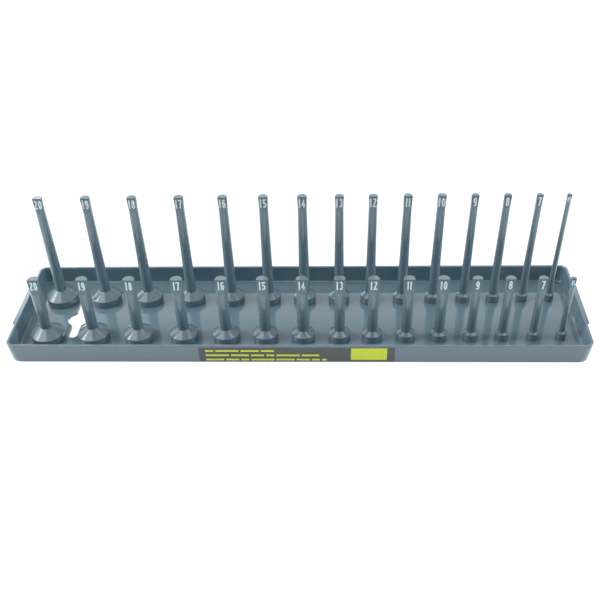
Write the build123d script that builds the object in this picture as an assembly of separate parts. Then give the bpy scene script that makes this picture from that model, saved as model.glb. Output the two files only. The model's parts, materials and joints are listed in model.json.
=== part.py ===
from build123d import *
import os
from math import atan2, cos, radians, sin, sqrt, tan
from typing import NamedTuple

# Socket holder: a long shallow tray that carries two rows of upright posts.
# The rear row has tall posts for deep sockets, and the front row has short posts for standard ones.
# Each post has a collar and a cone that centre the socket, a round shaft that passes through it,
# and at the front of its top a flat where the socket's size is printed, with a short ramp below.
# X runs along the tray towards the small sockets, Y away from the person at the tray, and Z up.
# The origin is on the surface that the tray stands on, under the middle of the tray.

# Hexagon sizes of the sockets, across flats, from the left end of the tray to the right
SOCKET_SIZES = tuple(range(20, 5, -1))
# Distance from each post's axis to the next one's
PITCHES = (33.2, 32.2, 32.4, 30.1, 27.8, 26.6, 25.4, 22.9, 23.5, 22.8, 22.2, 21.7, 21.3, 19.5)
ROW_SPACING = 45.5
# The front row stands this much further to the right than the rear row
FRONT_ROW_SHIFT = 0.4

# Tray, measured over the outer edge of its rim
LEFT_MARGIN = 22.2
RIGHT_MARGIN = 17.0
FRONT_MARGIN = 24.4
REAR_MARGIN = 27.1
TRAY_HEIGHT = 14.8
RIM_THICKNESS = 2.0
WALL_ROOT_THICKNESS = 2.7
FLOOR = 2.6
RIM_CORNER_RADIUS = 5.6
FOOT_CORNER_RADIUS = 8.5
WALL_LEAN = 0.5
RIM_ROUND = 0.6
FOOT_ROUND = 0.6
FLOOR_FILLET = 1.2

# Finger lip on each end wall, just under the rim
LIP_LENGTH = 44.6
LIP_REACH = 1.5
LIP_EDGE = 1.0
LIP_DROP = 0.3

# Opening in the floor between the two largest sockets, for hanging the tray up
HANG_CIRCLE_DIAMETER = 16.8
HANG_SLOT_LENGTH = 45.4
HANG_SLOT_WIDTH = 6.8
HANG_BLEND = 1.5

# Posts
DEEP_TOP = 88.6
SHORT_TOP = 52.7
HEAD_LENGTH = 10.3
TOP_ROUND = 0.4
COLLAR_HEIGHT = 5.3
COLLAR_OVERLAP = 0.1
COLLAR_ROUND = 0.4
CONE_ANGLE = 34.0
# The top edge of the number flat lies this share of the head's radius in front of the axis
FLAT_OFFSET_SHARE = 0.38
# How far the number flat leans back from upright
FLAT_LEAN_ANGLE = 6.0

# Spigot under each post, which plugs into a hole in the floor
SPIGOT_CLEARANCE = 0.05
SPIGOT_RECESS = 0.2

# Label on the front wall
LABEL_LENGTH = 133.7
# The label's middle is this far to the right of the tray's middle
LABEL_MIDDLE = 0.5
LABEL_WIDTH = 12.1
LABEL_THICKNESS = 0.2
LABEL_HEIGHT = 7.1


class Shaft(NamedTuple):
    """Radii of the posts that share one shaft thickness, and how far their number flat reaches down.

    The flat ends at a distance from the top, and the ramp under it at a larger one.
    """

    smallest: int
    foot: float
    deep_neck: float
    deep_head: float
    short_neck: float
    short_head: float
    spigot: float
    flat_end: float
    ramp_end: float


# From the thickest shafts to the thinnest, each down to the smallest size that has it
SHAFTS = (
    Shaft(14, 4.00, 3.20, 3.45, 3.90, 4.00, spigot=3.0, flat_end=7.7, ramp_end=10.9),
    Shaft(10, 3.65, 2.95, 3.15, 3.65, 3.85, spigot=2.6, flat_end=7.7, ramp_end=10.2),
    Shaft(8, 3.15, 2.55, 2.70, 3.00, 3.45, spigot=2.2, flat_end=7.7, ramp_end=9.0),
    Shaft(7, 2.75, 2.20, 2.35, 2.70, 3.15, spigot=1.9, flat_end=7.6, ramp_end=8.5),
    Shaft(6, 1.95, 1.55, 1.65, 1.90, 1.95, spigot=1.4, flat_end=5.3, ramp_end=6.1),
)

TRAY_LENGTH = LEFT_MARGIN + sum(PITCHES) + RIGHT_MARGIN
TRAY_DEPTH = FRONT_MARGIN + ROW_SPACING + REAR_MARGIN
FRONT_ROW_Y = FRONT_MARGIN - TRAY_DEPTH / 2
REAR_ROW_Y = FRONT_ROW_Y + ROW_SPACING
FIRST_POST_X = LEFT_MARGIN - TRAY_LENGTH / 2
POST_X = {
    size: FIRST_POST_X + sum(PITCHES[:index]) for index, size in enumerate(SOCKET_SIZES)
}


def shaft_of(size):
    """The shaft that a socket size gets."""
    return next(shaft for shaft in SHAFTS if size >= shaft.smallest)


def collar_radius(size):
    """The collar just covers the hexagon's corners."""
    return size / sqrt(3) + COLLAR_OVERLAP


def wall_inset(z):
    """How far the outside of the wall stands in from the rim's edge at a height."""
    return WALL_LEAN * (1 - z / TRAY_HEIGHT)


def corner_radius(z):
    """Radius of the tray's outside corners at a height, larger at the foot than at the rim."""
    return FOOT_CORNER_RADIUS + (RIM_CORNER_RADIUS - FOOT_CORNER_RADIUS) * z / TRAY_HEIGHT


def tray_section(z, inwards):
    """Rounded rectangle of the tray at a height, moved inwards from the outside of the wall."""
    inset = wall_inset(z) + inwards
    outline = RectangleRounded(
        TRAY_LENGTH - 2 * inset, TRAY_DEPTH - 2 * inset, corner_radius(z) - inset
    )
    return Pos(0, 0, z) * outline


def tray_shell():
    """Leaning walls on a flat floor, thicker at the root, with rounded rim, foot and floor corner."""
    outside = loft([tray_section(0, 0), tray_section(TRAY_HEIGHT, 0)], ruled=True)
    mouth = tray_section(TRAY_HEIGHT, RIM_THICKNESS)
    inside = loft([tray_section(FLOOR, WALL_ROOT_THICKNESS), mouth], ruled=True)
    shell = outside - inside
    shell = fillet(shell.edges().filter_by_position(Axis.Z, FLOOR, FLOOR), FLOOR_FILLET)
    shell = fillet(shell.edges().filter_by_position(Axis.Z, TRAY_HEIGHT, TRAY_HEIGHT), RIM_ROUND)
    return fillet(shell.edges().filter_by_position(Axis.Z, 0, 0), FOOT_ROUND)


def finger_lip():
    """Lip of the right end wall: flat on top, sloping back to the wall underneath."""
    top = TRAY_HEIGHT - LIP_DROP
    root = TRAY_LENGTH / 2 - RIM_THICKNESS / 2
    edge = TRAY_LENGTH / 2 + LIP_REACH
    section = Polyline(
        (root, top),
        (edge, top),
        (edge, top - LIP_EDGE),
        (root, top - LIP_EDGE - (edge - root)),
        close=True,
    )
    return extrude(Plane.XZ * make_face(section), LIP_LENGTH / 2, both=True)


def post_places(size):
    """Where the deep and the short post of a size stand, in X and Y."""
    x = POST_X[size]
    return {"deep": (x, REAR_ROW_Y), "short": (x + FRONT_ROW_SHIFT, FRONT_ROW_Y)}


def hang_opening():
    """Round opening with a slot through its middle, cut through the floor."""
    outline = Circle(HANG_CIRCLE_DIAMETER / 2) + SlotOverall(
        HANG_SLOT_LENGTH, HANG_SLOT_WIDTH, rotation=90
    )
    corners = [
        v for v in outline.vertices() if abs(v.Y) < HANG_CIRCLE_DIAMETER / 2
    ]
    outline = fillet(corners, HANG_BLEND)
    middle_x = FIRST_POST_X + PITCHES[0] / 2
    middle_y = (FRONT_ROW_Y + REAR_ROW_Y) / 2
    return Pos(middle_x, middle_y, 0) * extrude(outline, FLOOR)


def spigot_hole(size):
    """Hole in the floor for the spigot of one post."""
    radius = shaft_of(size).spigot + SPIGOT_CLEARANCE
    return Cylinder(radius, FLOOR, align=(Align.CENTER, Align.CENTER, Align.MIN))


def tray():
    """The tray with its lips, its hanging opening and a hole for each post."""
    body = tray_shell() + finger_lip() + mirror(finger_lip(), about=Plane.YZ)
    body -= hang_opening()
    for size in SOCKET_SIZES:
        for x, y in post_places(size).values():
            body -= Pos(x, y, 0) * spigot_hole(size)
    return body


def post_body(size, top, neck, head):
    """Spigot, collar, cone, shaft and head, turned about the post's axis."""
    shaft = shaft_of(size)
    collar = collar_radius(size)
    collar_top = FLOOR + COLLAR_HEIGHT
    cone_top = collar_top + (collar - shaft.foot) * tan(radians(CONE_ANGLE))
    outline = make_face(
        Polyline(
            (0, SPIGOT_RECESS),
            (shaft.spigot, SPIGOT_RECESS),
            (shaft.spigot, FLOOR),
            (collar, FLOOR),
            (collar, collar_top),
            (shaft.foot, cone_top),
            (neck, top - HEAD_LENGTH),
            (head, top),
            (0, top),
            close=True,
        )
    )
    collar_edge = outline.vertices().sort_by_distance((collar, collar_top))[0]
    outline = fillet(collar_edge, COLLAR_ROUND)
    top_edge = outline.vertices().sort_by_distance((head, top))[0]
    outline = fillet(top_edge, TOP_ROUND)
    return revolve(Plane.XZ * outline, Axis.Z)


def flat_cutter(top, neck, head, shaft):
    """Block in front of the number flat and of the ramp that runs out to the shaft's surface."""
    lean = tan(radians(FLAT_LEAN_ANGLE))
    flat_top = head * FLAT_OFFSET_SHARE
    flat_foot = flat_top + lean * shaft.flat_end
    ramp = (shaft.ramp_end - shaft.flat_end) / (neck - flat_foot)
    front = neck + head
    side = Polyline(
        (-flat_top + lean * head, top + head),
        (-flat_foot, top - shaft.flat_end),
        (-front, top - shaft.flat_end - ramp * (front - flat_foot)),
        (-front, top + head),
        close=True,
    )
    return extrude(Plane.YZ * make_face(side), 2 * head, both=True)


def post(size, place, top, neck, head):
    """One post at its place in the tray."""
    cutter = flat_cutter(top, neck, head, shaft_of(size))
    return Pos(*place) * (post_body(size, top, neck, head) - cutter)


def label():
    """Blank label on the outside of the front wall."""
    lean = atan2(WALL_LEAN, TRAY_HEIGHT)
    wall = Plane(
        origin=(LABEL_MIDDLE, wall_inset(LABEL_HEIGHT) - TRAY_DEPTH / 2, LABEL_HEIGHT),
        x_dir=(1, 0, 0),
        z_dir=(0, -cos(lean), -sin(lean)),
    )
    sheet = Box(
        LABEL_LENGTH,
        LABEL_WIDTH,
        LABEL_THICKNESS,
        align=(Align.CENTER, Align.CENTER, Align.MIN),
    )
    return wall * sheet


def build():
    """Every piece of the holder by name."""
    pieces = {"tray": tray(), "label": label()}
    for size in SOCKET_SIZES:
        shaft = shaft_of(size)
        places = post_places(size)
        pieces[f"post_deep_{size:02d}"] = post(
            size, places["deep"], DEEP_TOP, shaft.deep_neck, shaft.deep_head
        )
        pieces[f"post_short_{size:02d}"] = post(
            size, places["short"], SHORT_TOP, shaft.short_neck, shaft.short_head
        )
    return pieces


os.makedirs("parts", exist_ok=True)
for name, shape in build().items():
    export_step(shape, f"parts/{name}.step")
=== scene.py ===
"""Socket holder as a Blender add-on: moulded plastic, printed numbers, label print and a studio."""

import json
from math import cos, radians, sin

import bmesh
import bpy
from mathutils import Matrix, Vector

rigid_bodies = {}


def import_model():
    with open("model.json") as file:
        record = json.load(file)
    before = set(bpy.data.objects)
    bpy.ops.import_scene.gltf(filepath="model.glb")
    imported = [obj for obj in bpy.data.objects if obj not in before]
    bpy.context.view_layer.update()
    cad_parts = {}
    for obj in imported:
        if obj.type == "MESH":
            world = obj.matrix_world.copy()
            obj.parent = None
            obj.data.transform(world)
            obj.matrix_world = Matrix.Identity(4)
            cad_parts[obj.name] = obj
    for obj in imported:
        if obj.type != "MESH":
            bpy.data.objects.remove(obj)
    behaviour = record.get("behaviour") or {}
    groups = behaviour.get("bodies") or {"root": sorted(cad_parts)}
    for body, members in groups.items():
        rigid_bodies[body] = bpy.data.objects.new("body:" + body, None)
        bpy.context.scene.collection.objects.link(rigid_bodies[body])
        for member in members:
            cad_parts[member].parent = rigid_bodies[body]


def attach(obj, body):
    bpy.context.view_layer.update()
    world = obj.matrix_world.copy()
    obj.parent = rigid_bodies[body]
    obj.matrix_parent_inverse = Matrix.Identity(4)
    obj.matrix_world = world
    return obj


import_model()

bl_info = {
    "name": "Socket Holder",
    "version": (1, 0, 0),
    "blender": (4, 5, 0),
    "location": "View3D > Sidebar > Socket Holder",
    "description": "Finishes, printed numbers and studio for the socket holder",
    "category": "Object",
}

MM = 0.001
WHITE = (1.0, 1.0, 1.0, 1.0)
SOCKET_SIZES = range(20, 5, -1)
ROWS = ("deep", "short")
# The thinnest posts have digits of their own height, width and stroke
SMALLEST_SIZE = 6

# Moulded plastic: clouds of pigment, draw marks and ripple
# The draw marks are coarser than real ones, so that they show
CLOUD_LENGTH = 30 * MM
DRAW_MARK_PITCH = 0.5 * MM
TRAY_DRAW_LENGTH = 12 * MM
POST_DRAW_LENGTH = 40 * MM
RIPPLE_LENGTH = 2.5 * MM
RIPPLE_DEPTH = 0.05 * MM
# Noise values between which the draw marks turn from smooth to rough
MARKS_LOW, MARKS_HIGH = 0.3, 0.7
# Shares of the roughness at the smoothest and the roughest draw marks
SMOOTHEST, ROUGHEST = 0.8, 1.3
ABS_IOR = 1.54

# Print and film: the grain of each, its roughness, and the refraction of inks and vinyl
FOIL_GRAIN, FOIL_ROUGHNESS = 0.35 * MM, 0.35
FILM_GRAIN, FILM_ROUGHNESS = 4 * MM, 0.3
INK_GRAIN, INK_ROUGHNESS = 0.8 * MM, 0.35
INK_IOR = 1.5
# Noise values between which print turns from thin to full
THIN_PRINT, FULL_PRINT = 0.35, 0.6

# Each pen stroke stands this far above the one before it, so that crossing strokes share no surface
STROKE_STEP = 0.002 * MM
# The two ends of a closed pen stroke lie at least this near to each other
CLOSED_WITHIN = 0.01 * MM
# A mitre is cut off where the line turns so sharply that this cosine isn't reached
LEAST_MITRE_COSINE = 0.5

# Bars on the label: the shortest, and the steps by which the others are longer
SHORTEST_BAR = 5.5 * MM
BAR_STEP = 3.5 * MM
BAR_LENGTHS = 4
# Turns the count of bars into an uneven order of lengths
BAR_SHUFFLE = 7

# The number flat's normal: mostly forwards, leaning up a little, and not turned sideways
FLAT_NORMAL_Y = -0.98
FLAT_NORMAL_Z = (0.05, 0.2)
FLAT_NORMAL_X = 0.001
# Points this near the highest one belong to the flat's top edge
EDGE_WITHIN = 0.01 * MM
# Two faces whose normals differ by less than this belong to one flat surface
SAME_NORMAL = 0.01


# Colours and nodes


def linear(hex_colour):
    """Scene-linear colour of an sRGB colour written as hex digits."""
    channels = []
    for place in (0, 2, 4):
        value = int(hex_colour[place : place + 2], 16) / 255
        channels.append(value / 12.92 if value <= 0.04045 else ((value + 0.055) / 1.055) ** 2.4)
    return (*channels, 1.0)


def colour_property(name, description, hex_colour):
    """Colour that a person can change, with its default in sRGB hex."""
    return bpy.props.FloatVectorProperty(
        name=name,
        description=description,
        subtype="COLOR",
        size=4,
        min=0.0,
        max=1.0,
        default=linear(hex_colour),
    )


def length_property(name, description, millimetres):
    """Length that a person can change, with its default in millimetres."""
    return bpy.props.FloatProperty(
        name=name, description=description, unit="LENGTH", precision=5, default=millimetres * MM
    )


def share_property(name, description, share):
    """Share from 0 to 1 that a person can change."""
    return bpy.props.FloatProperty(
        name=name, description=description, default=share, min=0.0, max=1.0
    )


def angle_property(name, description, degrees):
    """Angle that a person can change, with its default in degrees."""
    return bpy.props.FloatProperty(
        name=name, description=description, default=radians(degrees), unit="ROTATION"
    )


def new_material(name):
    """Material with an empty node tree."""
    material = bpy.data.materials.new(name)
    material.use_nodes = True
    material.node_tree.nodes.clear()
    return material


def add_node(tree, kind, inputs=None, **settings):
    """Node of a kind, with settings, and inputs given as values or as sockets to link."""
    node = tree.nodes.new(kind)
    for key, value in settings.items():
        setattr(node, key, value)
    for key, value in (inputs or {}).items():
        if isinstance(value, bpy.types.NodeSocket):
            tree.links.new(value, node.inputs[key])
        else:
            node.inputs[key].default_value = value
    return node


def moulded_abs(name, settings, draw_length):
    """Injection-moulded ABS from a polished mould.

    The eye sees an even slate grey with broad faint clouds where the pigment flowed, a wet-looking
    gloss that a slight ripple breaks up, and faint draw marks along the way that the piece left its
    mould.
    """
    material = new_material(name)
    tree = material.node_tree
    place = add_node(tree, "ShaderNodeTexCoord").outputs["Object"]
    clouds = add_node(
        tree, "ShaderNodeTexNoise", {"Vector": place, "Scale": 1 / CLOUD_LENGTH, "Detail": 3.0}
    ).outputs["Fac"]
    pigment = add_node(
        tree,
        "ShaderNodeMix",
        {"Factor": clouds, 6: tuple(settings.shade), 7: tuple(settings.colour)},
        data_type="RGBA",
    ).outputs[2]
    draw = add_node(
        tree,
        "ShaderNodeMapping",
        {"Vector": place, "Scale": (1 / DRAW_MARK_PITCH, 1 / DRAW_MARK_PITCH, 1 / draw_length)},
    ).outputs["Vector"]
    marks = add_node(
        tree, "ShaderNodeTexNoise", {"Vector": draw, "Scale": 1.0, "Detail": 2.0}
    ).outputs["Fac"]
    gloss = add_node(
        tree,
        "ShaderNodeMapRange",
        {
            "Value": marks,
            "From Min": MARKS_LOW,
            "From Max": MARKS_HIGH,
            "To Min": settings.roughness * SMOOTHEST,
            "To Max": settings.roughness * ROUGHEST,
        },
    ).outputs["Result"]
    ripple = add_node(
        tree, "ShaderNodeTexNoise", {"Vector": place, "Scale": 1 / RIPPLE_LENGTH, "Detail": 2.0}
    ).outputs["Fac"]
    bump = add_node(
        tree,
        "ShaderNodeBump",
        {"Height": ripple, "Strength": settings.ripple, "Distance": RIPPLE_DEPTH},
    ).outputs["Normal"]
    shader = add_node(
        tree,
        "ShaderNodeBsdfPrincipled",
        {"Base Color": pigment, "Roughness": gloss, "IOR": ABS_IOR, "Normal": bump},
    )
    add_node(tree, "ShaderNodeOutputMaterial", {"Surface": shader.outputs["BSDF"]})
    return material


def printed_film(name, colour, thin_colour, grain, roughness):
    """Print or film on plastic.

    The eye sees a nearly even colour that is a little paler or darker in grains where it lies thin.
    """
    material = new_material(name)
    tree = material.node_tree
    place = add_node(tree, "ShaderNodeTexCoord").outputs["Object"]
    speckle = add_node(
        tree, "ShaderNodeTexNoise", {"Vector": place, "Scale": 1 / grain, "Detail": 2.0}
    ).outputs["Fac"]
    cover = add_node(
        tree,
        "ShaderNodeMapRange",
        {"Value": speckle, "From Min": THIN_PRINT, "From Max": FULL_PRINT},
    ).outputs["Result"]
    ink = add_node(
        tree,
        "ShaderNodeMix",
        {"Factor": cover, 6: tuple(thin_colour), 7: tuple(colour)},
        data_type="RGBA",
    ).outputs[2]
    shader = add_node(
        tree,
        "ShaderNodeBsdfPrincipled",
        {"Base Color": ink, "Roughness": roughness, "IOR": INK_IOR},
    )
    add_node(tree, "ShaderNodeOutputMaterial", {"Surface": shader.outputs["BSDF"]})
    return material


# Sizes and colours that a person may change in the sidebar


class PlasticSettings(bpy.types.PropertyGroup):
    colour: colour_property("Plastic", "Colour of the plastic", "6F8895")
    shade: colour_property("Plastic shade", "Colour of the plastic's darker clouds", "6B838F")
    roughness: share_property("Roughness", "Roughness of the moulded surface", 0.07)
    ripple: share_property("Ripple", "Strength of the surface's slight ripple", 0.1)


class NumberSettings(bpy.types.PropertyGroup):
    colour: colour_property("Number colour", "Colour of the numbers", "EAFCFF")
    thin_colour: colour_property("Thin print colour", "Colour where the print lies thin", "E0F6FC")
    height: length_property("Digit height", "Height of the digits", 6.3)
    width: length_property("Digit width", "Width of a round digit", 2.5)
    stroke: length_property("Stroke", "Width of a digit's stroke", 1.05)
    gap: length_property("Digit gap", "Gap between two round digits", 0.4)
    bar_gap: length_property("Gap beside a 1", "Gap between two digits where one is a 1", 0.85)
    small_height: length_property(
        "Smallest digit height", "Height of the digit on the thinnest posts", 4.0
    )
    small_width: length_property(
        "Smallest digit width", "Width of the digit on the thinnest posts", 2.3
    )
    small_stroke: length_property(
        "Smallest stroke", "Width of the stroke on the thinnest posts", 0.7
    )
    thickness: length_property("Print thickness", "How far the print stands out", 0.05)
    top_gap: length_property("Top gap", "From the top edge of the flat down to the digits", 1.35)


class LabelSettings(bpy.types.PropertyGroup):
    film: colour_property("Film colour", "Colour of the label's ground", "4A5152")
    film_shade: colour_property("Film shade", "Darker colour of the label's ground", "454C4D")
    ink: colour_property("Ink colour", "Colour of the label's print", "E2F03C")
    thin_ink: colour_property("Thin ink colour", "Colour where the ink lies thin", "D8E63A")
    field_left: length_property("Field left", "From the label's middle to the field's left", 37.2)
    field_low: length_property("Field low", "From the label's middle to the field's foot", -4.6)
    field_width: length_property("Field width", "Width of the plain field", 24.5)
    field_height: length_property("Field height", "Height of the plain field", 10.4)
    row_left: length_property("Rows start", "From the label's middle to the rows' left end", -62.3)
    row_lengths: bpy.props.FloatVectorProperty(
        name="Row lengths",
        description="Length of each row of bars",
        default=(49 * MM, 78 * MM, 83 * MM),
        unit="LENGTH",
    )
    first_row: length_property("First row", "From the label's middle to the top row's foot", 2.6)
    row_pitch: length_property("Row pitch", "From one row of bars to the next", 3.9)
    bar_height: length_property("Bar height", "Height of a bar", 1.5)
    bar_gap: length_property("Bar gap", "Gap between two bars", 1.4)
    corner: length_property("Bar corner", "Radius of a bar's corners", 0.25)
    thickness: length_property("Ink thickness", "How far the ink stands out", 0.02)


class StageSettings(bpy.types.PropertyGroup):
    yaw: angle_property("Camera yaw", "Turn to the left", 3.4076)
    pitch: angle_property("Camera pitch", "Tilt down", 42.7139)
    roll: angle_property("Camera roll", "Turn about the view", -2.1151)
    place: bpy.props.FloatVectorProperty(
        name="Camera place",
        description="Where the camera stands",
        default=(0.027977, -0.487090, 0.370705),
        unit="LENGTH",
    )
    lens: bpy.props.FloatProperty(
        name="Lens", description="Focal length in millimetres", default=50.06
    )
    shift: bpy.props.FloatProperty(
        name="Shift", description="Upward shift as a share of the frame", default=1 / 6
    )


# Digits as pen strokes, and the meshes of prints
# The numbers in the strokes are shares of a digit's height and width, and angles in degrees


def arc(centre, radii, start, end, steps=16):
    """Points on an ellipse from one angle to another, in degrees."""
    points = []
    for index in range(steps + 1):
        angle = radians(start + (end - start) * index / steps)
        points.append((centre[0] + radii[0] * cos(angle), centre[1] + radii[1] * sin(angle)))
    return points


def nine_strokes(left, right, low, high):
    """Pen strokes of a 9: a bowl, and a tail that drops from it and hooks to the left."""
    middle = (left + right) / 2
    across = (right - left) / 2
    bowl = (high - low) * 0.31
    hook = (high - low) * 0.24
    tail = [(right, high - bowl)] + arc((middle, low + hook), (across, hook), 0, -155)
    return [arc((middle, high - bowl), (across, bowl), 0, 360, 28), tail]


def digit_strokes(digit, width, height, stroke):
    """Pen strokes of one digit whose ink just fills a width and a height."""
    left, right = stroke / 2, width - stroke / 2
    low, high = stroke / 2, height - stroke / 2
    middle, across, tall = width / 2, (right - left) / 2, high - low
    if digit == "0":
        return [arc((middle, height / 2), (across, tall / 2), 90, 450, 30)]
    if digit == "1":
        return [[(middle, 0), (middle, height)]]
    if digit == "2":
        hook = arc((middle, high - across), (across, across), 165, -30)
        return [hook + [(left, low), (width, low)]]
    if digit == "3":
        upper = tall * 0.24
        lower = tall / 2 - upper
        curve = arc((middle, high - upper), (across * 0.92, upper), 155, -90)
        return [curve + arc((middle, low + lower), (across, lower), 90, -155)]
    if digit == "4":
        bar, stem = low + tall * 0.27, left + (right - left) * 0.74
        return [[(stem, 0), (stem, high), (left, bar), (width, bar)]]
    if digit == "5":
        belly = tall * 0.31
        curve = arc((middle - across * 0.06, low + belly), (across * 1.06, belly), 138, -152, 20)
        return [[(width, high), (left + across * 0.15, high)] + curve]
    if digit == "7":
        return [[(0, high), (right, high), (left + across * 0.7, 0)]]
    if digit == "8":
        upper = tall * 0.235
        lower = tall / 2 - upper
        return [
            arc((middle, high - upper), (across * 0.9, upper), 90, 450, 26),
            arc((middle, low + lower), (across, lower), 90, 450, 28),
        ]
    nine = nine_strokes(left, right, low, high)
    if digit == "9":
        return nine
    return [[(width - x, height - y) for x, y in points] for points in nine]


def stroke_sides(points, half, closed):
    """Points along the left and the right side of a pen line, mitred at its corners."""
    count = len(points)
    left, right = [], []
    for index, point in enumerate(points):
        here = Vector(point)
        directions = []
        if closed or index:
            directions.append((here - Vector(points[index - 1])).normalized())
        if closed or index < count - 1:
            directions.append((Vector(points[(index + 1) % count]) - here).normalized())
        along = sum(directions, Vector((0, 0))).normalized()
        across = Vector((-along.y, along.x))
        first = directions[0]
        reach = half / max(across.dot(Vector((-first.y, first.x))), LEAST_MITRE_COSINE)
        left.append(here + across * reach)
        right.append(here - across * reach)
    return left, right


def raise_faces(mesh, faces, place, thickness):
    """Turn flat faces into a thin solid that stands up from a surface."""
    raised = bmesh.ops.extrude_face_region(mesh, geom=faces)["geom"]
    verts = [item for item in raised if isinstance(item, bmesh.types.BMVert)]
    bmesh.ops.translate(mesh, vec=place.to_3x3() @ Vector((0, 0, thickness)), verts=verts)


def add_stroke(mesh, points, stroke, thickness, place):
    """Pen stroke as a thin solid: its two sides are bridged to a ribbon, which is raised."""
    closed = (Vector(points[0]) - Vector(points[-1])).length < CLOSED_WITHIN
    if closed:
        points = points[:-1]
    edges = []
    for side in stroke_sides(points, stroke / 2, closed):
        verts = [mesh.verts.new(place @ corner.to_3d()) for corner in side]
        following = verts[1:] + verts[:1] if closed else verts[1:]
        edges += [mesh.edges.new(pair) for pair in zip(verts, following)]
    ribbon = bmesh.ops.bridge_loops(mesh, edges=edges)["faces"]
    raise_faces(mesh, ribbon, place, thickness)


def add_plate(mesh, place, corner, size, thickness, ease=0.0):
    """Thin rectangle of ink, from its lower left corner and its size, with eased corners."""
    middle = Vector((corner[0] + size[0] / 2, corner[1] + size[1] / 2, 0))
    spot = place @ Matrix.Translation(middle) @ Matrix.Diagonal((*size, 1, 1))
    others = set(mesh.faces)
    plate = bmesh.ops.create_grid(mesh, x_segments=1, y_segments=1, size=0.5, matrix=spot)
    if ease:
        bmesh.ops.bevel(
            mesh,
            geom=plate["verts"],
            affect="VERTICES",
            offset=ease,
            segments=3,
            profile=0.5,
            material=-1,
        )
    flat = [face for face in mesh.faces if face not in others]
    raise_faces(mesh, flat, place, thickness)


def finish_piece(name, mesh, material):
    """Object from a mesh, with outward normals and one material."""
    bmesh.ops.recalc_face_normals(mesh, faces=mesh.faces)
    data = bpy.data.meshes.new(name)
    mesh.to_mesh(data)
    mesh.free()
    data.materials.append(material)
    piece = bpy.data.objects.new(name, data)
    bpy.context.scene.collection.objects.link(piece)
    return piece


def surface_matrix(middle, outward):
    """Matrix of a spot on a surface that faces forwards: X right, Y up the surface, Z outwards."""
    right = Vector((1, 0, 0))
    turn = Matrix((right, outward.cross(right), outward)).transposed().to_4x4()
    return Matrix.Translation(middle) @ turn


def number_flat(node):
    """Matrix at the middle of the top edge of a post's number flat."""
    leaning = {}
    for polygon in node.data.polygons:
        normal = polygon.normal
        low, high = FLAT_NORMAL_Z
        if normal.y < FLAT_NORMAL_Y and low < normal.z < high and abs(normal.x) < FLAT_NORMAL_X:
            leaning.setdefault(round(normal.z, 3), []).append(polygon)
    flat = max(leaning.values(), key=lambda polygons: sum(polygon.area for polygon in polygons))
    normal = max(flat, key=lambda polygon: polygon.area).normal
    points = [node.data.vertices[index].co for polygon in flat for index in polygon.vertices]
    top = max(point.z for point in points)
    edge = [point for point in points if point.z > top - EDGE_WITHIN]
    edge.sort(key=lambda point: point.x)
    return surface_matrix((edge[0] + edge[-1]) / 2, Vector((0, normal.y, normal.z)).normalized())


def label_front(node):
    """Matrix at the middle of the label's front."""
    normal = min(node.data.polygons, key=lambda polygon: polygon.normal.y).normal
    front = [
        polygon for polygon in node.data.polygons if (polygon.normal - normal).length < SAME_NORMAL
    ]
    points = [node.data.vertices[index].co for polygon in front for index in polygon.vertices]
    low = Vector([min(point[axis] for point in points) for axis in range(3)])
    high = Vector([max(point[axis] for point in points) for axis in range(3)])
    return surface_matrix((low + high) / 2, Vector((0, normal.y, normal.z)).normalized())


def post_name(row, size):
    """Name of a post's node."""
    return f"post_{row}_{size:02d}"


def dress(names, material):
    """Put a material in every slot of some nodes."""
    for name in names:
        for slot in bpy.data.objects[name].material_slots:
            slot.material = material


class SOCKETHOLDER_OT_plastic(bpy.types.Operator):
    """Give the tray and the posts their glossy moulded plastic"""

    bl_idname = "socket_holder.plastic"
    bl_label = "Plastic"

    def execute(self, context):
        settings = context.scene.socket_holder_plastic
        dress(["tray"], moulded_abs("Moulded ABS, tray", settings, TRAY_DRAW_LENGTH))
        posts = [post_name(row, size) for row in ROWS for size in SOCKET_SIZES]
        dress(posts, moulded_abs("Moulded ABS, posts", settings, POST_DRAW_LENGTH))
        return {"FINISHED"}


class SOCKETHOLDER_OT_numbers(bpy.types.Operator):
    """Print each post's number on its flat"""

    bl_idname = "socket_holder.numbers"
    bl_label = "Numbers"

    def execute(self, context):
        settings = context.scene.socket_holder_numbers
        # Hot-stamped foil: a bright, cool white with a fine speckle of the foil's grain
        foil = printed_film(
            "Hot-stamped foil", settings.colour, settings.thin_colour, FOIL_GRAIN, FOIL_ROUGHNESS
        )
        for row in ROWS:
            for size in SOCKET_SIZES:
                self.print_number(settings, foil, row, size)
        return {"FINISHED"}

    def print_number(self, settings, foil, row, size):
        """One post's number, centred on its flat."""
        small = size == SMALLEST_SIZE
        height = settings.small_height if small else settings.height
        round_width = settings.small_width if small else settings.width
        stroke = settings.small_stroke if small else settings.stroke
        text = str(size)
        gap = settings.bar_gap if "1" in text else settings.gap
        widths = [stroke if digit == "1" else round_width for digit in text]
        flat = number_flat(bpy.data.objects[post_name(row, size)])
        left = -(sum(widths) + gap * (len(text) - 1)) / 2
        thickness = settings.thickness
        mesh = bmesh.new()
        for digit, width in zip(text, widths):
            place = flat @ Matrix.Translation((left, -settings.top_gap - height, 0))
            for points in digit_strokes(digit, width, height, stroke):
                add_stroke(mesh, points, stroke, thickness, place)
                thickness += STROKE_STEP
            left += width + gap
        piece = finish_piece(f"number_{row}_{size:02d}", mesh, foil)
        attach(piece, "root")


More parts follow.
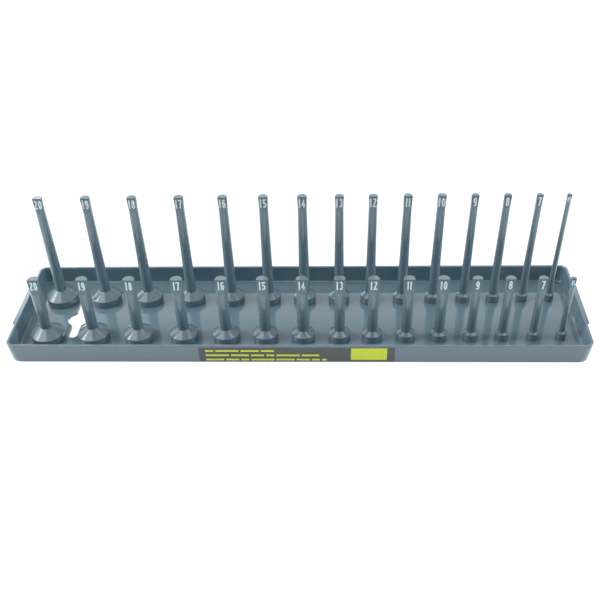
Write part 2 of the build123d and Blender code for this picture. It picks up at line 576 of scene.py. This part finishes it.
class SOCKETHOLDER_OT_label(bpy.types.Operator):
    """Give the label its dark film, a plain field and rows of plain bars"""

    bl_idname = "socket_holder.label"
    bl_label = "Label"

    def execute(self, context):
        settings = context.scene.socket_holder_label
        # Self-adhesive vinyl film: a satin dark grey with slow mottling
        film = printed_film(
            "Vinyl label film", settings.film, settings.film_shade, FILM_GRAIN, FILM_ROUGHNESS
        )
        dress(["label"], film)
        # Screen-printed ink: a strong, even yellow, a little thinner in small spots
        ink = printed_film(
            "Screen-printed ink", settings.ink, settings.thin_ink, INK_GRAIN, INK_ROUGHNESS
        )
        place = label_front(bpy.data.objects["label"])
        mesh = bmesh.new()
        field = (settings.field_width, settings.field_height)
        add_plate(mesh, place, (settings.field_left, settings.field_low), field, settings.thickness)
        for row, reach in enumerate(settings.row_lengths):
            low = settings.first_row - row * settings.row_pitch
            for start, length in self.bars(reach, row, settings.bar_gap):
                add_plate(
                    mesh,
                    place,
                    (settings.row_left + start, low),
                    (length, settings.bar_height),
                    settings.thickness,
                    settings.corner,
                )
        piece = finish_piece("label_print", mesh, ink)
        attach(piece, "root")
        return {"FINISHED"}

    def bars(self, reach, row, gap):
        """Start and length of each bar in a row, of uneven lengths."""
        start = 0.0
        count = row
        while reach - start > gap:
            longer = BAR_STEP * (count * BAR_SHUFFLE % BAR_LENGTHS)
            length = min(SHORTEST_BAR + longer, reach - start)
            yield start, length
            start += length + gap
            count += 1


def camera_matrix(settings):
    """World matrix of the camera from its place and its yaw, pitch and roll."""
    ahead = Vector((-sin(settings.yaw), cos(settings.yaw), 0))
    level = Vector((cos(settings.yaw), sin(settings.yaw), 0))
    rise = Vector((0, 0, 1))
    forward = ahead * cos(settings.pitch) - rise * sin(settings.pitch)
    upright = ahead * sin(settings.pitch) + rise * cos(settings.pitch)
    right = level * cos(settings.roll) + upright * sin(settings.roll)
    up = upright * cos(settings.roll) - level * sin(settings.roll)
    turn = Matrix((right, up, -forward)).transposed().to_4x4()
    return Matrix.Translation(Vector(settings.place)) @ turn


# Studio floor, in metres: half its width
FLOOR_REACH = 3.0
# How far it lies under the tray, so that the two surfaces don't coincide
FLOOR_DROP = 0.1 * MM
# Front edge of the sheet under the holder whose painted glow shows only in reflections, and the
# width of its blend into the floor painted dim there
SHEET_END = -0.115
SHEET_BLEND = 0.03
# Painted shadow of the holder on the glowing sheet: the glow is painted darker from the first of
# these places on, and from the holder's front wall back this share of it is left
PAINTED_SHADOW_START = -0.1
FRONT_WALL = -0.048
PAINTED_SHADOW_SHARE = 0.5
# Brightness of the floor as the camera sees it
SHEET_GLOW = 0.95
# Painted reflection: brightness of the painted glowing sheet and of the painted dim floor past it,
# seen only in reflections, where 1 is white
MIRRORED_GLOW = 2.2
DIM_FLOOR_GLOW = 0.1
# Strength of a painted glow that the floor gives off as a light, on top of its matt reflection, to
# stand in for bounce light
PAINTED_BOUNCE_GLOW = 0.28
# Reflectance of the floor as a light, and where it is seen, which is low so that shadows stay faint
BOUNCE_REFLECTANCE = 0.8
SEEN_REFLECTANCE = 0.2
# Strength of the world as a light
WORLD_LIGHT = 0.02

# Softboxes, all aimed at the holder: name, power in watts, place, width and height in metres
SOFTBOXES = (
    ("left_low", 9.5, (-1.3, 0.0, 0.2), 0.9, 0.4),
    ("left_middle", 3.2, (-1.3, 0.0, 0.6), 0.9, 0.4),
    ("left_high", 6.2, (-1.25, 0.0, 1.0), 0.9, 0.3),
    ("left_overhead", 6.0, (-0.8, -0.2, 1.2), 0.8, 0.9),
    ("left_rear_middle", 3.6, (-0.95, 0.9, 0.62), 0.9, 0.4),
    ("right_low", 14.0, (1.3, 0.0, 0.2), 0.9, 0.4),
    ("right_high", 1.8, (1.25, 0.0, 1.0), 0.9, 0.3),
    ("right_overhead", 3.8, (0.8, -0.05, 1.2), 0.8, 0.6),
    ("rear_middle", 0.8, (0.0, 1.2, 0.73), 1.3, 0.3),
    ("rear_overhead", 4.8, (0.0, 0.7, 1.2), 1.2, 0.5),
)


class SOCKETHOLDER_OT_studio(bpy.types.Operator):
    """Build the plain white studio with its softboxes and camera"""

    bl_idname = "socket_holder.studio"
    bl_label = "Studio"

    def execute(self, context):
        scene = context.scene
        scene.view_settings.view_transform = "Standard"
        world = bpy.data.worlds.new("Studio")
        scene.world = world
        world.use_nodes = True
        world.node_tree.nodes.clear()
        tree = world.node_tree
        # White where it is seen or mirrored, and dim as a light
        strength = add_node(
            tree,
            "ShaderNodeMapRange",
            {"Value": self.seen(tree), "To Min": WORLD_LIGHT, "To Max": 1.0},
        ).outputs["Result"]
        air = add_node(tree, "ShaderNodeBackground", {"Color": WHITE, "Strength": strength})
        add_node(tree, "ShaderNodeOutputWorld", {"Surface": air.outputs["Background"]})
        mesh = bmesh.new()
        bmesh.ops.create_grid(mesh, x_segments=1, y_segments=1, size=FLOOR_REACH)
        bmesh.ops.translate(mesh, vec=(0, 0, -FLOOR_DROP), verts=mesh.verts)
        floor = finish_piece("floor", mesh, self.paper())
        for name, power, place, width, height in SOFTBOXES:
            self.softbox(scene, name, power, place, width, height)
        self.camera(scene, scene.socket_holder_stage)
        return {"FINISHED"}

    def seen(self, tree):
        """1 for rays from the camera, a mirror or glass, and 0 for rays that only bring light."""
        rays = add_node(tree, "ShaderNodeLightPath").outputs
        direct = add_node(
            tree,
            "ShaderNodeMath",
            {0: rays["Is Camera Ray"], 1: rays["Is Glossy Ray"]},
            operation="MAXIMUM",
        ).outputs[0]
        return add_node(
            tree, "ShaderNodeMath", {0: direct, 1: rays["Is Transmission Ray"]}, operation="MAXIMUM"
        ).outputs[0]

    def paper(self):
        """White studio paper.

        The camera sees it plain white with the holder's faint shadow. Polished plastic mirrors a
        painted glow:
        a sheet under the holder brighter than white, painted darker towards the holder as its
        shadow, and a floor painted dim past its front edge. For other rays it is matt and gives off
        a painted glow that stands in for bounce light.
        """
        material = new_material("White studio paper")
        tree = material.node_tree
        camera = add_node(tree, "ShaderNodeLightPath").outputs["Is Camera Ray"]
        spot = add_node(tree, "ShaderNodeTexCoord").outputs["Object"]
        depth = add_node(tree, "ShaderNodeSeparateXYZ", {"Vector": spot}).outputs["Y"]
        # Painted reflection: glossy rays see a sheet under the holder glowing brighter than white,
        # and a floor painted dim past its front edge
        sheet = add_node(
            tree,
            "ShaderNodeMapRange",
            {
                "Value": depth,
                "From Min": SHEET_END - SHEET_BLEND,
                "From Max": SHEET_END,
                "To Min": DIM_FLOOR_GLOW,
                "To Max": MIRRORED_GLOW,
            },
            interpolation_type="SMOOTHSTEP",
        ).outputs["Result"]
        # Painted shadow: the sheet's glow is painted darker towards the holder
        shade = add_node(
            tree,
            "ShaderNodeMapRange",
            {
                "Value": depth,
                "From Min": PAINTED_SHADOW_START,
                "From Max": FRONT_WALL,
                "To Min": 1.0,
                "To Max": PAINTED_SHADOW_SHARE,
            },
        ).outputs["Result"]
        painted_glow = add_node(
            tree, "ShaderNodeMath", {0: sheet, 1: shade}, operation="MULTIPLY"
        ).outputs[0]
        brightness = add_node(
            tree,
            "ShaderNodeMix",
            {"Factor": camera, "A": painted_glow, "B": SHEET_GLOW},
            data_type="FLOAT",
        ).outputs[0]
        layers = []
        # For rays that only bring light the floor is matt plus a painted glow standing in for
        # bounce light
        looks = ((BOUNCE_REFLECTANCE, PAINTED_BOUNCE_GLOW), (SEEN_REFLECTANCE, brightness))
        for reflectance, glow in looks:
            grey = (reflectance, reflectance, reflectance, 1.0)
            matt = add_node(tree, "ShaderNodeBsdfDiffuse", {"Color": grey})
            white = add_node(tree, "ShaderNodeEmission", {"Color": WHITE, "Strength": glow})
            both = add_node(tree, "ShaderNodeAddShader", {0: matt.outputs[0], 1: white.outputs[0]})
            layers.append(both.outputs[0])
        surface = add_node(
            tree, "ShaderNodeMixShader", {0: self.seen(tree), 1: layers[0], 2: layers[1]}
        )
        add_node(tree, "ShaderNodeOutputMaterial", {"Surface": surface.outputs[0]})
        return material

    def softbox(self, scene, name, power, place, width, height):
        """Soft rectangular light that faces the holder."""
        light = bpy.data.lights.new(name, "AREA")
        light.energy = power
        light.shape = "RECTANGLE"
        light.size = width
        light.size_y = height
        lamp = bpy.data.objects.new(name, light)
        lamp.location = place
        lamp.rotation_euler = (-Vector(place)).to_track_quat("-Z", "Y").to_euler()
        scene.collection.objects.link(lamp)

    def camera(self, scene, settings):
        """Camera at the photographed angle, with everything in focus."""
        view = bpy.data.cameras.new("camera")
        view.lens = settings.lens
        view.sensor_width = 36
        view.shift_y = settings.shift
        view.clip_start = 0.01
        camera = bpy.data.objects.new("camera", view)
        camera.matrix_world = camera_matrix(settings)
        scene.collection.objects.link(camera)
        scene.camera = camera


class SOCKETHOLDER_PT_panel(bpy.types.Panel):
    """The holder's sizes, colours and steps"""

    bl_idname = "SOCKETHOLDER_PT_panel"
    bl_label = "Socket Holder"
    bl_space_type = "VIEW_3D"
    bl_region_type = "UI"
    bl_category = "Socket Holder"

    def draw(self, context):
        for name, group, operator in STEPS:
            box = self.layout.box()
            for entry in group.__annotations__:
                box.prop(getattr(context.scene, name), entry)
            box.operator(operator)


# Each step's settings, their group and the operator that uses them, in the order that they run
STEPS = (
    ("socket_holder_plastic", PlasticSettings, "socket_holder.plastic"),
    ("socket_holder_label", LabelSettings, "socket_holder.label"),
    ("socket_holder_numbers", NumberSettings, "socket_holder.numbers"),
    ("socket_holder_stage", StageSettings, "socket_holder.studio"),
)
CLASSES = (
    PlasticSettings,
    LabelSettings,
    NumberSettings,
    StageSettings,
    SOCKETHOLDER_OT_plastic,
    SOCKETHOLDER_OT_label,
    SOCKETHOLDER_OT_numbers,
    SOCKETHOLDER_OT_studio,
    SOCKETHOLDER_PT_panel,
)


def register():
    for entry in CLASSES:
        bpy.utils.register_class(entry)
    for name, group, _ in STEPS:
        setattr(bpy.types.Scene, name, bpy.props.PointerProperty(type=group))


def unregister():
    for name, _, _ in STEPS:
        delattr(bpy.types.Scene, name)
    for entry in reversed(CLASSES):
        bpy.utils.unregister_class(entry)


def main():
    register()
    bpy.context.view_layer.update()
    bpy.ops.socket_holder.plastic()
    bpy.ops.socket_holder.label()
    bpy.ops.socket_holder.numbers()
    bpy.ops.socket_holder.studio()


if __name__ == "__main__":
    main()
